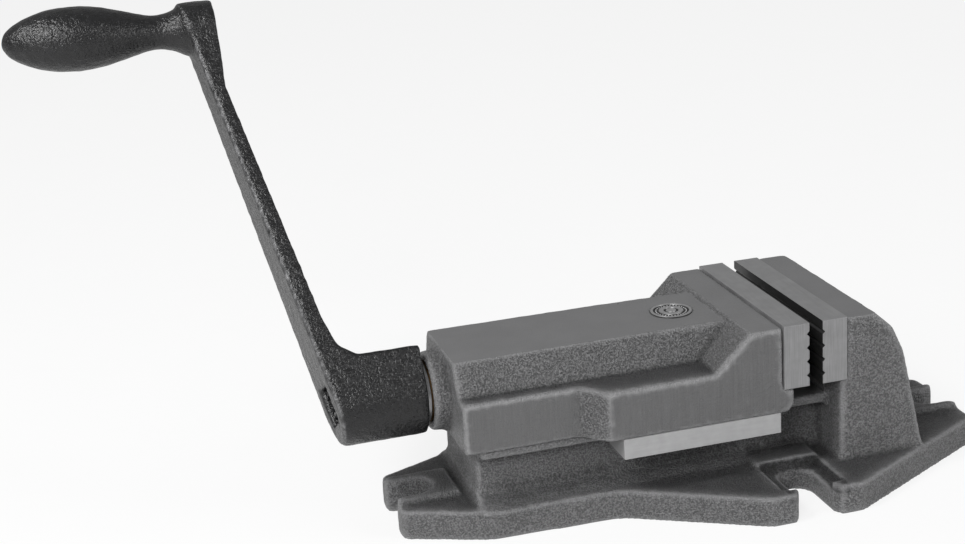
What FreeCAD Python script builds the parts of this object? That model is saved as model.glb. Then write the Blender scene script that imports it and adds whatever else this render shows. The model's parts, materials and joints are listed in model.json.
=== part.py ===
"""A cast machine vise with a crank, drawn as separate pieces in one document.

Millimetres. +Z is up, +X runs from the crank towards the fixed jaw, and the
camera side of the vise is -Y. The origin lies on the underside of the base, in
the mid-plane, below the clamping face of the fixed jaw. The movable jaw stands
6.5 mm open, as it does at rest. Each named number is a cell of the sheet, and
every formula below is written with the names of those cells.
"""
import FreeCAD, Part
import math
import os
import re
import Sketcher

SIZES = {
    # jaws
    "jaw_width": 100,
    "jaw_top": 85,
    "jaw_gap": 6.5,
    "plate_height": 30.8,
    "plate_thick": 12.5,
    "plate_proud": 0.8,
    "casting_inset": 0.4,
    "groove_pitch": 6.7,
    "groove_deep": 1.2,
    "groove_start": 5.36,
    "plate_screw_spread": 25,
    # base
    "base_left": 196,
    "base_right": 91,
    "flange_thick": 14,
    "end_half": 21,
    "right_half": 27.5,
    "shoulder_back": 158,
    "shoulder_half": 38,
    "waist_back": 97,
    "waist_half": 39.5,
    "lobe_back": 37,
    "lobe_half": 75.4,
    "lobe_front": 8.5,
    "small_corner": 5,
    "lobe_corner": 7,
    "long_corner": 25,
    "end_slot_half": 9,
    "end_slot_depth": 20,
    "end_pad_half": 14,
    "end_pad_long": 30,
    "pad_rise": 2.4,
    "side_slot_half": 8.5,
    "side_slot_back": 13.7,
    "side_slot_inner": 42,
    "mouth_flare": 3,
    "pocket_half": 14.8,
    "pocket_outer": 68.5,
    "pocket_sink": 3.5,
    "bed_left": 161,
    "bed_half": 27.5,
    "bed_top": 43,
    "rail_half": 36,
    "rail_thick": 5,
    "skirt_rise": 6,
    "skirt_reach": 12,
    "block_front": 9.5,
    "block_shelf": 13.5,
    "block_step": 10.3,
    "block_step_drop": 9,
    "block_rear": 52.5,
    "block_bend": 42,
    "block_bend_drop": 21.5,
    # moving jaw casting
    "slide_gap": 0.3,
    "slide_left": 168,
    "tunnel_drop": 2.6,
    "tunnel_top_half": 24,
    "tunnel_foot_half": 30.5,
    "ledge_drop": 18,
    "slide_half": 38,
    "wing_left": 104,
    "wing_flare": 10,
    "ridge_back": 34.6,
    "slope_back": 53,
    "nose_reach": 5.4,
    "nose_round": 3,
    "cavity_half": 16,
    "cavity_rise": 15.5,
    "end_wall": 8,
    "cavity_right": 22,
    "badge_back": 54,
    "badge_radius": 10,
    "badge_sink": 1,
    "badge_thick": 1.4,
    # guide strips
    "strip_left": 97.6,
    "strip_right": 20.9,
    "strip_height": 9.6,
    "strip_lip": 4,
    "strip_lip_reach": 6.5,
    "strip_screw_pitch": 29,
    # spindle, nut and bearing
    "spindle_height": 19,
    "thread_radius": 9,
    "thread_lead": 5,
    "thread_deep": 1.6,
    "thread_left": 143,
    "spindle_right": 25,
    "journal_radius": 11,
    "square_across": 17,
    "square_left": 209,
    "shoulder_radius": 14,
    "shoulder_thick": 0.8,
    "washer_thick": 0.8,
    "boss_radius": 18.5,
    "boss_left": 175.9,
    "bush_radius": 14,
    "collar_radius": 14,
    "collar_thick": 11,
    "pin_radius": 2,
    "nut_left": 138,
    "nut_right": 114,
    "nut_half": 15.2,
    "nut_rise": 13.5,
    "nut_grip": 10,
    "nut_slope": 5,
    "nut_screw_spread": 9.5,
    "nut_screw_sink": 9,
    "running_gap": 0.05,
    "square_gap": 0.15,
    # crank
    "crank_turn": 30.5,
    "crank_reach": 187,
    "crank_slope": 0.194,
    "crank_outer": 221,
    "hub_radius": 19,
    "hub_draft": 0.1,
    "hub_root": 2,
    "arm_thick": 9,
    "arm_top_thick": 7.2,
    "arm_root": 18,
    "arm_top_half": 11.5,
    "crank_boss_radius": 13.2,
    "boss_skirt": 2,
    "boss_proud": 4.2,
    "boss_run": 18,
    "handle_length": 83.5,
    "root_step": 1,
    "handle_neck": 8.1,
    "handle_belly": 15,
    "handle_tilt": 1.6,
    # cap screws
    "screw_radius": 4,
    "screw_head": 6.5,
    "screw_head_high": 8,
    "screw_grip": 14,
    "strip_screw_radius": 3,
    "strip_screw_head": 5,
    "strip_screw_head_high": 5,
    "strip_screw_grip": 12,
    "screw_room": 0.5,
    "tap_spare": 1,
    "hex_share": 0.5,
}

CASTING_TOP = "(jaw_top - plate_proud)"
CASTING_HALF = "(jaw_width / 2 - casting_inset)"
PLATE_FOOT = "(jaw_top - plate_height)"
PLATE_MIDDLE = "(jaw_top - plate_height / 2)"
MOVING_FACE = "(-jaw_gap)"
MOVING_BACK = "(-jaw_gap - plate_thick)"
SLIDE_FOOT = "(bed_top + slide_gap)"
TUNNEL_TOP = "(jaw_top - tunnel_drop)"
LEDGE = "(jaw_top - ledge_drop)"
CAVITY_LEFT = "(-slide_left + end_wall)"
RAIL_FOOT = "(bed_top - rail_thick)"
STRIP_FOOT = "(bed_top + slide_gap - strip_height)"
HUB_FACE = "(-boss_left - 2 * slide_gap - washer_thick - shoulder_thick)"
SHOULDER_LEFT = "(-boss_left - slide_gap - washer_thick - shoulder_thick)"
WASHER_LEFT = "(-boss_left - slide_gap - washer_thick)"
INNER_WASHER_LEFT = "(-slide_left + end_wall + slide_gap)"
SPINDLE_LINE = "(bed_top + spindle_height)"
NUT_TOP = f"({SPINDLE_LINE} + nut_rise)"
COLLAR_LEFT = "(-slide_left + end_wall + slide_gap + washer_thick)"
COLLAR_MIDDLE = "(-slide_left + end_wall + slide_gap + washer_thick + collar_thick / 2)"
COLLAR_RIGHT = "(-slide_left + end_wall + slide_gap + washer_thick + collar_thick)"
POCKET_FLOOR = "(flange_thick - pocket_sink)"

TURN_TO = {
    "X": FreeCAD.Rotation(FreeCAD.Vector(0, 1, 0), 90),
    "Y": FreeCAD.Rotation(FreeCAD.Vector(1, 0, 0), -90),
    "Z": FreeCAD.Rotation(),
    "-X": FreeCAD.Rotation(FreeCAD.Vector(0, 1, 0), -90),
}
PLANE_TURN = {
    "XY": FreeCAD.Rotation(),
    "XZ": FreeCAD.Rotation(FreeCAD.Vector(1, 0, 0), 90),
    "YZ": FreeCAD.Rotation(FreeCAD.Vector(1, 1, 1), 120),
}
PLANE_NORMAL = {"XY": "z", "XZ": "y", "YZ": "x"}

doc = FreeCAD.newDocument("machine_vise")


def write_sheet():
    """Put every size in the sheet, with its name beside it."""
    sizes = doc.addObject("Spreadsheet::Sheet", "Sizes")
    for row, (name, number) in enumerate(SIZES.items(), start=1):
        sizes.set(f"A{row}", name)
        sizes.set(f"B{row}", str(number))
        sizes.setAlias(f"B{row}", name)
    doc.recompute()
    return sizes


sheet = write_sheet()


def linked(formula):
    """A formula in the names of the sizes, as one that reads the sheet's cells."""
    return re.sub(r"[a-z_]{3,}", lambda word: "Sizes." + word.group() if word.group() in SIZES
                  else word.group(), str(formula))


def number(formula):
    """What a formula is worth now."""
    worth = sheet.evalExpression(linked(formula))
    return float(getattr(worth, "Value", worth))


def bind(thing, **formulas):
    """Tie properties of an object to the sheet."""
    for name, formula in formulas.items():
        thing.setExpression(name, linked(formula))
    return thing


def place(thing, spot, turn=None):
    """Put an object at a spot given by three formulas."""
    thing.Placement = FreeCAD.Placement(FreeCAD.Vector(*map(number, spot)), turn or FreeCAD.Rotation())
    for letter, formula in zip("xyz", spot):
        thing.setExpression("Placement.Base." + letter, linked(formula))
    return thing


def draw_corners(sketch, corners):
    """A closed run of straight lines whose corners are tied to the sheet."""
    spots = [FreeCAD.Vector(number(across), number(up), 0) for across, up in corners]
    for here, there in zip(spots, spots[1:] + spots[:1]):
        sketch.addGeometry(Part.LineSegment(here, there))
    for side in range(len(spots)):
        following = (side + 1) % len(spots)
        sketch.addConstraint(Sketcher.Constraint("Coincident", side, 2, following, 1))
    for side, (corner, spot) in enumerate(zip(corners, spots)):
        for kind, formula, here in zip(("DistanceX", "DistanceY"), corner, spot):
            index = sketch.addConstraint(Sketcher.Constraint(kind, -1, 1, side, 1, here))
            sketch.setExpression(f"Constraints[{index}]", linked(formula))


def prism(name, plane, corners, start, length, middle=False):
    """A straight-sided solid: an outline in a plane, carried along the plane's normal."""
    sketch = doc.addObject("Sketcher::SketchObject", name + "_outline")
    spot = {"x": "0", "y": "0", "z": "0"}
    spot[PLANE_NORMAL[plane]] = start
    place(sketch, [spot[letter] for letter in "xyz"], PLANE_TURN[plane])
    draw_corners(sketch, corners)
    solid = doc.addObject("Part::Extrusion", name)
    solid.Base = sketch
    solid.DirMode = "Normal"
    solid.Solid = True
    solid.Symmetric = middle
    return bind(solid, LengthFwd=length)


def block(name, low_x, high_x, low_y, high_y, low_z, high_z):
    """A rectangular block between six faces."""
    solid = doc.addObject("Part::Box", name)
    bind(solid, Length=f"{high_x} - ({low_x})", Width=f"{high_y} - ({low_y})",
         Height=f"{high_z} - ({low_z})")
    return place(solid, (low_x, low_y, low_z))


def rod(name, along, spot, radius, length):
    """A round bar from a spot along an axis."""
    solid = doc.addObject("Part::Cylinder", name)
    bind(solid, Radius=radius, Height=length)
    return place(solid, spot, TURN_TO[along])


def join(name, pieces):
    """Several solids made one."""
    whole = doc.addObject("Part::MultiFuse", name)
    whole.Shapes = pieces
    whole.Refine = True
    return whole


def overlap(name, pieces):
    """What several solids have in common."""
    shared = doc.addObject("Part::MultiCommon", name)
    shared.Shapes = pieces
    return shared


def cut(name, solid, tools):
    """A solid with others taken out of it."""
    tool = tools[0] if len(tools) == 1 else join(name + "_tools", tools)
    rest = doc.addObject("Part::Cut", name)
    rest.Base = solid
    rest.Tool = tool
    rest.Refine = True
    return rest


def group(name, pieces):
    """Like pieces kept in one node as separate solids."""
    several = doc.addObject("Part::Compound", name)
    several.Links = pieces
    return several


def origin_plane(body, role):
    """One of a body's own origin planes or axes."""
    return next(item for item in body.Origin.OriginFeatures if item.Role == role)


def body_sketch(body, name, plane, corners):
    """A sketch of straight lines on one of a body's origin planes."""
    sketch = body.newObject("Sketcher::SketchObject", name)
    sketch.AttachmentSupport = (origin_plane(body, plane + "_Plane"), [""])
    sketch.MapMode = "FlatFace"
    draw_corners(sketch, corners)
    return sketch


def turned(name, spot, profile, along="X"):
    """A lathe-turned body: (distance along its axis, radius) corners swept right round.

    The profile is drawn in the body's own XZ plane and turned about its X axis.
    """
    body = doc.addObject("PartDesign::Body", name)
    sketch = body_sketch(body, name + "_profile", "XZ", profile)
    solid = body.newObject("PartDesign::Revolution", name + "_turning")
    solid.Profile = sketch
    solid.ReferenceAxis = (sketch, ["H_Axis"])
    solid.Angle = 360
    lying = FreeCAD.Rotation() if along == "X" else TURN_TO["-X"]
    if along == "-X":
        lying = FreeCAD.Rotation(FreeCAD.Vector(0, 0, 1), 180)
    return place(body, spot, lying)


def cap_screw(name, spot, shank, head, head_high, grip, along="Z"):
    """A socket cap screw whose head lies behind the spot and whose shank runs along its axis."""
    profile = [(f"-({head_high})", f"({head}) * hex_share"), (f"-({head_high})", head), ("0", head),
               ("0", shank), (grip, shank), (grip, "0"), (f"-({head_high}) / 2", "0"),
               (f"-({head_high}) / 2", f"({head}) * hex_share")]
    return turned(name, spot, profile, along)


def near_and_far(corners):
    """Half an outline, from left to right on the near side, and its far half back again."""
    near = [(across, f"-({out})") for across, out in corners]
    far = [(across, f"{out}") for across, out in reversed(corners)]
    return near + far


def round_corners(body, base, radius, wanted):
    """Round the upright edges of a body at the wanted corners."""
    doc.recompute()
    spots = [(number(across), number(out)) for across, out in wanted]
    names = []
    for index, edge in enumerate(base.Shape.Edges, start=1):
        low, high = edge.BoundBox.Center, edge.BoundBox
        upright = high.XLength < 0.01 and high.YLength < 0.01
        near = any(math.hypot(low.x - x, abs(low.y) - y) < 0.05 for x, y in spots)
        if upright and near:
            names.append(f"Edge{index}")
    fillet = body.newObject("PartDesign::Fillet", f"{base.Name}_rounded")
    fillet.Base = (base, names)
    return bind(fillet, Radius=radius)


def flange():
    """The foot of the base: a waisted plate with rounded corners and a lobe each side."""
    left_end = ("-base_left", "end_half")
    shoulder = ("-shoulder_back", "shoulder_half")
    waist = ("-waist_back", "waist_half")
    lobe_back = ("-lobe_back", "lobe_half")
    lobe_front = ("lobe_front", "lobe_half")
    right_end = ("base_right", "right_half")
    corners = near_and_far([left_end, shoulder, waist, lobe_back, lobe_front, right_end])
    body = doc.addObject("PartDesign::Body", "flange")
    sketch = body_sketch(body, "flange_outline", "XY", corners)
    pad = body.newObject("PartDesign::Pad", "flange_pad")
    pad.Profile = sketch
    bind(pad, Length="flange_thick")
    ends = round_corners(body, pad, "small_corner", [left_end, right_end])
    lobes = round_corners(body, ends, "lobe_corner", [lobe_back, lobe_front])
    round_corners(body, lobes, "long_corner", [shoulder, waist])
    return body


def end_slot(name, mouth, inward):
    """An open slot for a clamping bolt in one end of the base, with a round inner end."""
    middle = f"{mouth} {inward} (end_slot_depth - end_slot_half)"
    beyond = f"{mouth} {inward} (-end_slot_half)"
    low, high = (beyond, middle) if inward == "+" else (middle, beyond)
    top = "flange_thick + 2 * pad_rise"
    straight = block(name + "_way", low, high, "-end_slot_half", "end_slot_half", "-1", top)
    inner = rod(name + "_end", "Z", (middle, "0", "-1"), "end_slot_half", f"{top} + 1")
    corners = [(beyond, "-end_slot_half - 2 * mouth_flare"), (beyond, "end_slot_half + 2 * mouth_flare"),
               (f"{mouth} {inward} 1.5 * mouth_flare", "end_slot_half"),
               (f"{mouth} {inward} 1.5 * mouth_flare", "-end_slot_half")]
    mouth_way = prism(name + "_mouth", "XY", corners, "-1", f"{top} + 1")
    return [straight, inner, mouth_way]


def side_slot(name, side):
    """An open slot in one lobe, with the sunk seat for its washer."""
    inner = f"{side} (side_slot_inner + side_slot_half)"
    beyond = f"{side} (lobe_half + side_slot_half)"
    low, high = (inner, beyond) if side == "+" else (beyond, inner)
    straight = block(name + "_way", "-side_slot_back - side_slot_half",
                     "-side_slot_back + side_slot_half", low, high, "-1", "flange_thick + 1")
    round_end = rod(name + "_end", "Z", ("-side_slot_back", inner, "-1"), "side_slot_half",
                    "flange_thick + 2")
    corners = [(f"-side_slot_back {turn} (side_slot_half + mouth_flare)", f"{side} (lobe_half + 1)")
               for turn in "-+"]
    corners += [(f"-side_slot_back {turn} side_slot_half", f"{side} (lobe_half - 1.5 * mouth_flare)")
                for turn in "+-"]
    mouth_way = prism(name + "_mouth", "XY", corners, "-1", "flange_thick + 2")
    near, far = f"{side} (side_slot_inner - 0.5)", f"{side} pocket_outer"
    low, high = (near, far) if side == "+" else (far, near)
    seat = block(name + "_seat", "-side_slot_back - pocket_half", "-side_slot_back + pocket_half",
                 low, high, POCKET_FLOOR, "flange_thick + 2 * pad_rise")
    return [straight, round_end, mouth_way, seat]


def screw_ways(name, spot, shank, head, sink, depth, along="Z"):
    """The stepped hole for a cap screw: a wide mouth, then the shank's own hole."""
    mouth_spot = list(spot)
    letter = {"X": 0, "Y": 1, "Z": 2, "-X": 0}[along]
    back = "+" if along == "-X" else "-"
    mouth_spot[letter] = f"{spot[letter]} {back} ({sink})"
    return [rod(name + "_shank", along, spot, shank, depth),
            rod(name + "_mouth", along, mouth_spot, f"{head} + screw_room", sink)]


def base_casting():
    """The base: slotted foot, bed with its rails, and the fixed jaw's block."""
    bed = block("bed", "-bed_left", "block_front + 1", "-bed_half", "bed_half", "1", "bed_top")
    rails = block("rails", "-bed_left", "block_front + 1", "-rail_half", "rail_half",
                  RAIL_FOOT, "bed_top")
    skirt = prism("skirt", "YZ",
                  [("-bed_half - skirt_reach", "flange_thick - 1"),
                   ("bed_half + skirt_reach", "flange_thick - 1"),
                   ("bed_half", "flange_thick + skirt_rise"),
                   ("-bed_half", "flange_thick + skirt_rise")],
                  "-bed_left - 1", "bed_left + 1 - side_slot_back - pocket_half - 2")
    fixed_block = prism("fixed_block", "XZ",
                        [("block_front", "1"), ("block_rear", "1"), ("block_rear", "flange_thick"),
                         ("block_bend", "jaw_top - block_bend_drop"),
                         ("plate_thick + block_shelf + block_step", "jaw_top - block_step_drop"),
                         ("plate_thick + block_shelf", CASTING_TOP), ("plate_thick", CASTING_TOP),
                         ("plate_thick", PLATE_FOOT), ("block_front", PLATE_FOOT)],
                        "0", f"2 * {CASTING_HALF}", middle=True)
    top = "flange_thick + pad_rise"
    left_pad = block("left_pad", "-base_left + 1", "-base_left + end_pad_long", "-end_pad_half",
                     "end_pad_half", "1", top)
    right_pad = block("right_pad", "base_right - end_pad_long", "base_right - 1", "-end_pad_half",
                      "end_pad_half", "1", top)
    seat_pads = block("seat_pads", "-side_slot_back - pocket_half - 2", "-side_slot_back + pocket_half",
                      "-side_slot_inner - 1", "side_slot_inner + 1", "1", top)
    solid = join("base_solid", [flange(), bed, rails, skirt, fixed_block, left_pad, right_pad,
                                seat_pads])
    tools = end_slot("left_slot", "-base_left", "+") + end_slot("right_slot", "base_right", "-")
    tools += side_slot("near_slot", "-") + side_slot("far_slot", "+")
    for side in "-+":
        spot = ("plate_thick", f"{side} plate_screw_spread", PLATE_MIDDLE)
        tools.append(rod(f"fixed_tap_{'near' if side == '-' else 'far'}", "X", spot, "screw_radius",
                         "screw_grip"))
        nut_spot = ("-(nut_left + nut_right) / 2", f"{side} nut_screw_spread", "nut_screw_sink")
        tools += screw_ways(f"nut_way_{'near' if side == '-' else 'far'}", nut_spot, "screw_radius",
                            "screw_head", "nut_screw_sink", "bed_top")
    return cut("base_casting", solid, tools)


def jaw_plate(name, face, back_sign):
    """A steel jaw plate, grooved across its clamping face, with two sunk screw holes."""
    inside = f"{face} {back_sign} groove_deep"
    corners = [(face, PLATE_FOOT)]
    pitches = int(number("(plate_height - groove_start - 2 * groove_deep) / groove_pitch"))
    for turn in range(pitches + 1):
        middle = f"{PLATE_FOOT} + groove_start + groove_pitch * {turn}"
        corners += [(face, f"{middle} - groove_deep"), (inside, middle), (face, f"{middle} + groove_deep")]
    back = f"{face} {back_sign} plate_thick"
    corners += [(face, "jaw_top"), (back, "jaw_top"), (back, PLATE_FOOT)]
    solid = prism(name + "_bar", "XZ", corners, "0", "jaw_width", middle=True)
    along = "X" if back_sign == "+" else "-X"
    tools = []
    for side, word in (("-", "near"), ("+", "far")):
        seat = f"{face} {back_sign} (screw_head_high + screw_room)"
        tools += screw_ways(f"{name}_{word}", (seat, f"{side} plate_screw_spread", PLATE_MIDDLE),
                            "screw_radius", "screw_head", "screw_head_high + 2", "plate_thick", along)
    return cut(name, solid, tools)


def jaw_plate_screws(name, face, back_sign):
    """The two cap screws that hold a jaw plate."""
    along = "X" if back_sign == "+" else "-X"
    seat = f"{face} {back_sign} (screw_head_high + screw_room)"
    reach = "plate_thick - screw_head_high - screw_room + screw_grip - tap_spare"
    screws = [cap_screw(f"{name}_{word}", (seat, f"{side} plate_screw_spread", PLATE_MIDDLE),
                        "screw_radius", "screw_head", "screw_head_high", reach, along)
              for side, word in (("-", "near"), ("+", "far"))]
    return group(name, screws)


def moving_jaw_casting():
    """The moving jaw: a hollow tunnel over the spindle, broad wings and the jaw's head."""
    tunnel = prism("tunnel", "YZ",
                   [("-tunnel_foot_half", f"{LEDGE} - 1"), ("tunnel_foot_half", f"{LEDGE} - 1"),
                    ("tunnel_top_half", TUNNEL_TOP), ("-tunnel_top_half", TUNNEL_TOP)],
                   "-slide_left", f"slide_left + {MOVING_BACK} - 1")
    shelf = block("shelf", "-slide_left", MOVING_BACK, "-slide_half", "slide_half", SLIDE_FOOT, LEDGE)
    nose = f"{MOVING_BACK} + nose_reach"
    side_view = prism("wing_side_view", "XZ",
                      [("-wing_left - wing_flare", SLIDE_FOOT), (f"{nose} - nose_round", SLIDE_FOOT),
                       (nose, f"{SLIDE_FOOT} + nose_round"), (nose, PLATE_FOOT),
                       (MOVING_BACK, PLATE_FOOT), (MOVING_BACK, CASTING_TOP),
                       ("-ridge_back", CASTING_TOP), ("-slope_back", LEDGE),
                       ("-wing_left - wing_flare", LEDGE)],
                      "0", f"2 * {CASTING_HALF}", middle=True)
    plan = near_and_far([("-wing_left - wing_flare", "slide_half"), ("-wing_left", CASTING_HALF),
                         ("0", CASTING_HALF)])
    wings = overlap("wings", [side_view, prism("wing_plan", "XY", plan, "0", "jaw_top")])
    boss = rod("bearing_boss", "X", ("-boss_left", "0", SPINDLE_LINE), "boss_radius",
               "boss_left - slide_left + 1")
    solid = join("slide_solid", [tunnel, shelf, wings, boss])
    cavity = block("cavity", CAVITY_LEFT, "-cavity_right", "-cavity_half", "cavity_half",
                   "bed_top - 1", f"{SPINDLE_LINE} + cavity_rise")
    bearing = rod("bearing_way", "X", ("-boss_left - 1", "0", SPINDLE_LINE), "bush_radius",
                  "boss_left + 1 - slide_left + end_wall + 1")
    badge_seat = rod("badge_seat", "Z", ("-badge_back", "0", f"{TUNNEL_TOP} - badge_sink"),
                     "badge_radius + 0.5", "jaw_top")
    tools = [cavity, bearing, badge_seat]
    for side, word in (("-", "near"), ("+", "far")):
        spot = (MOVING_BACK, f"{side} plate_screw_spread", PLATE_MIDDLE)
        tools.append(rod(f"moving_tap_{word}", "-X", spot, "screw_radius", "screw_grip"))
        for turn in (-1, 0, 1):
            spot = (strip_screw_place(turn), f"{side} {STRIP_SCREW_OUT}", SLIDE_FOOT)
            tools.append(rod(f"strip_tap_{word}_{turn + 2}", "Z", spot, "strip_screw_radius",
                             "strip_screw_grip"))
    return cut("moving_jaw_casting", solid, tools)


STRIP_SCREW_OUT = f"(rail_half + {CASTING_HALF}) / 2"


def strip_screw_place(turn):
    """Where a strip's screw stands along the vise, counted from the strip's middle."""
    return f"-(strip_left + strip_right) / 2 + strip_screw_pitch * ({turn})"


def guide_strip(name, side):
    """A steel strip under one wing, with a lip that hooks beneath the bed's rail."""
    inner = "rail_half + slide_gap"
    outer = "jaw_width / 2"
    lip = f"{inner} - strip_lip_reach"
    top, lip_top = SLIDE_FOOT, f"{STRIP_FOOT} + strip_lip"
    corners = [(lip, STRIP_FOOT), (outer, STRIP_FOOT), (outer, top), (inner, top), (inner, lip_top),
               (lip, lip_top)]
    corners = [(f"{side} ({across})", up) for across, up in corners]
    bar = prism(name + "_bar", "YZ", corners, "-strip_left", "strip_left - strip_right")
    tools = []
    for turn in (-1, 0, 1):
        spot = (strip_screw_place(turn), f"{side} {STRIP_SCREW_OUT}",
                f"{STRIP_FOOT} + strip_screw_head_high + screw_room / 2")
        tools += screw_ways(f"{name}_way_{turn + 2}", spot, "strip_screw_radius", "strip_screw_head",
                            "strip_screw_head_high + 2", "strip_height")
    return cut(name, bar, tools)


def guide_strip_screws(name, side):
    """The three cap screws that hold a guide strip up to the moving jaw."""
    screws = []
    for turn in (-1, 0, 1):
        spot = (strip_screw_place(turn), f"{side} {STRIP_SCREW_OUT}",
                f"{STRIP_FOOT} + strip_screw_head_high + screw_room / 2")
        grip = "strip_height - strip_screw_head_high - screw_room / 2 + strip_screw_grip - tap_spare"
        screws.append(cap_screw(f"{name}_{turn + 2}", spot, "strip_screw_radius", "strip_screw_head",
                                "strip_screw_head_high", grip))
    return group(name, screws)


def badge_disc():
    """The plain round disc let into the top of the moving jaw, turned with one ring."""
    rim, ring = "badge_radius", "badge_radius * 0.8"
    profile = [("0", "0"), ("0", rim), ("badge_thick - 0.3", rim), ("badge_thick", "badge_radius - 0.3"),
               ("badge_thick", ring), ("badge_thick - 0.3", f"{ring} - 0.4"),
               ("badge_thick - 0.3", "0")]
    return turned("badge_disc", ("-badge_back", "0", f"{TUNNEL_TOP} - badge_sink"), profile, "Z")


def crank_turning():
    """How far the crank, and the square that drives with it, are turned back from upright."""
    return FreeCAD.Rotation(FreeCAD.Vector(1, 0, 0), -number("crank_turn"))


def ring(name, start, thick, bore, radius):
    """A plain ring on the spindle's line."""
    profile = [(start, bore), (start, radius), (f"{start} + ({thick})", radius),
               (f"{start} + ({thick})", bore)]
    return turned(name, ("0", "0", SPINDLE_LINE), profile)


def spindle():
    """The spindle: square end, shoulder, journal, collar seat and grooved thread."""
    line = ("0", "0", SPINDLE_LINE)
    profile = [("-square_left", "0"), ("-square_left", "journal_radius"),
               (SHOULDER_LEFT, "journal_radius"), (SHOULDER_LEFT, "shoulder_radius"),
               (WASHER_LEFT, "shoulder_radius"), (WASHER_LEFT, "journal_radius"),
               (CAVITY_LEFT, "journal_radius"), (CAVITY_LEFT, "thread_radius"),
               ("-spindle_right - thread_deep", "thread_radius"),
               ("-spindle_right", "thread_radius - thread_deep"), ("-spindle_right", "0")]
    body = turned("spindle_bar", line, profile)
    groove_sketch = body_sketch(body, "groove_profile", "XZ",
                                [("-thread_left", "thread_radius + 0.5"),
                                 ("-thread_left + thread_lead * 0.3", "thread_radius - thread_deep"),
                                 ("-thread_left + thread_lead * 0.6", "thread_radius - thread_deep"),
                                 ("-thread_left + thread_lead * 0.9", "thread_radius + 0.5")])
    groove = body.newObject("PartDesign::Groove", "thread_groove")
    groove.Profile = groove_sketch
    groove.ReferenceAxis = (groove_sketch, ["H_Axis"])
    groove.Angle = 360
    doc.recompute()
    rows = body.newObject("PartDesign::LinearPattern", "thread_grooves")
    rows.Originals = [groove]
    rows.Direction = (origin_plane(body, "X_Axis"), [""])
    turns = "floor((thread_left - spindle_right) / thread_lead)"
    bind(rows, Length=f"({turns} - 1) * thread_lead", Occurrences=turns)
    body.Tip = rows
    square = prism("square_end", "YZ",
                   [(f"{across} square_across / 2", f"{up} square_across / 2")
                    for across, up in ("--", "+-", "++", "-+")],
                   "-square_left - 1", f"{SHOULDER_LEFT} + square_left + 1")
    place(square, line, crank_turning())
    outside = rod("square_blank", "X", ("-square_left - 1", "0", SPINDLE_LINE),
                  "journal_radius + 1", f"{SHOULDER_LEFT} + square_left + 1")
    trimmed = cut("spindle_squared", body, [cut("square_waste", outside, [square])])
    pin_way = rod("spindle_pin_way", "Y", (COLLAR_MIDDLE, "-collar_radius", SPINDLE_LINE),
                  "pin_radius", "2 * collar_radius")
    return cut("spindle", trimmed, [pin_way])


def thrust_collar():
    """The collar pinned to the spindle inside the tunnel, which pulls the jaw open."""
    blank = ring("collar_blank", COLLAR_LEFT, "collar_thick", "thread_radius", "collar_radius")
    pin_way = rod("collar_pin_way", "Y", (COLLAR_MIDDLE, "-collar_radius - 1", SPINDLE_LINE),
                  "pin_radius", "2 * collar_radius + 2")
    return cut("thrust_collar", blank, [pin_way])


def spindle_nut():
    """The bronze nut block that stands on the bed and is bolted up from below."""
    section = [("-nut_half", "bed_top"), ("nut_half", "bed_top"), ("nut_half", f"{NUT_TOP} - nut_slope"),
               ("nut_half - nut_slope", NUT_TOP), ("-nut_half + nut_slope", NUT_TOP),
               ("-nut_half", f"{NUT_TOP} - nut_slope")]
    blank = prism("nut_blank", "YZ", section, "-nut_left", "nut_left - nut_right")
    tools = [rod("nut_bore", "X", ("-nut_left - 1", "0", SPINDLE_LINE),
                 "thread_radius + running_gap", "nut_left - nut_right + 2")]
    for side, word in (("-", "near"), ("+", "far")):
        spot = ("-(nut_left + nut_right) / 2", f"{side} nut_screw_spread", "bed_top - 1")
        tools.append(rod(f"nut_tap_{word}", "Z", spot, "screw_radius", "nut_grip + 1"))
    return cut("spindle_nut", blank, tools)


def nut_screws():
    """The two long cap screws that hold the nut down to the bed."""
    screws = [cap_screw(f"nut_screw_{word}",
                        ("-(nut_left + nut_right) / 2", f"{side} nut_screw_spread", "nut_screw_sink"),
                        "screw_radius", "screw_head", "screw_head_high",
                        "bed_top - nut_screw_sink + nut_grip - tap_spare")
              for side, word in (("-", "near"), ("+", "far"))]
    return group("nut_screws", screws)


def crank_outer_face(height):
    """How far out the crank's outer face lies at a height above the spindle."""
    return f"(-crank_outer - crank_slope * ({height}))"


CRANK_TIP = "(crank_reach + crank_boss_radius)"
BOSS_FOOT = "(crank_reach - crank_boss_radius - boss_skirt)"
BOSS_INNER = f"({crank_outer_face(BOSS_FOOT)} + arm_top_thick + boss_proud)"
BOSS_RUN_OUT = f"({BOSS_FOOT} - boss_run)"


def crank_side_view():
    """The crank seen along Y: the hub, the arm that leans outwards and the boss at its top."""
    corners = [(crank_outer_face("-hub_radius"), "-hub_radius"), (crank_outer_face(CRANK_TIP), CRANK_TIP),
               (BOSS_INNER, CRANK_TIP), (BOSS_INNER, BOSS_FOOT),
               (f"{crank_outer_face(BOSS_RUN_OUT)} + arm_top_thick", BOSS_RUN_OUT),
               (f"{crank_outer_face('2 * hub_radius')} + arm_thick", "2 * hub_radius"),
               (f"{crank_outer_face('1.3 * hub_radius')} + arm_thick + hub_root", "1.3 * hub_radius"),
               (f"{crank_outer_face('hub_radius')} + arm_root", "hub_radius"),
               (HUB_FACE, "hub_radius"), (HUB_FACE, "-hub_radius")]
    return prism("crank_side_view", "XZ", corners, "0", "3 * hub_radius", middle=True)


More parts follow.
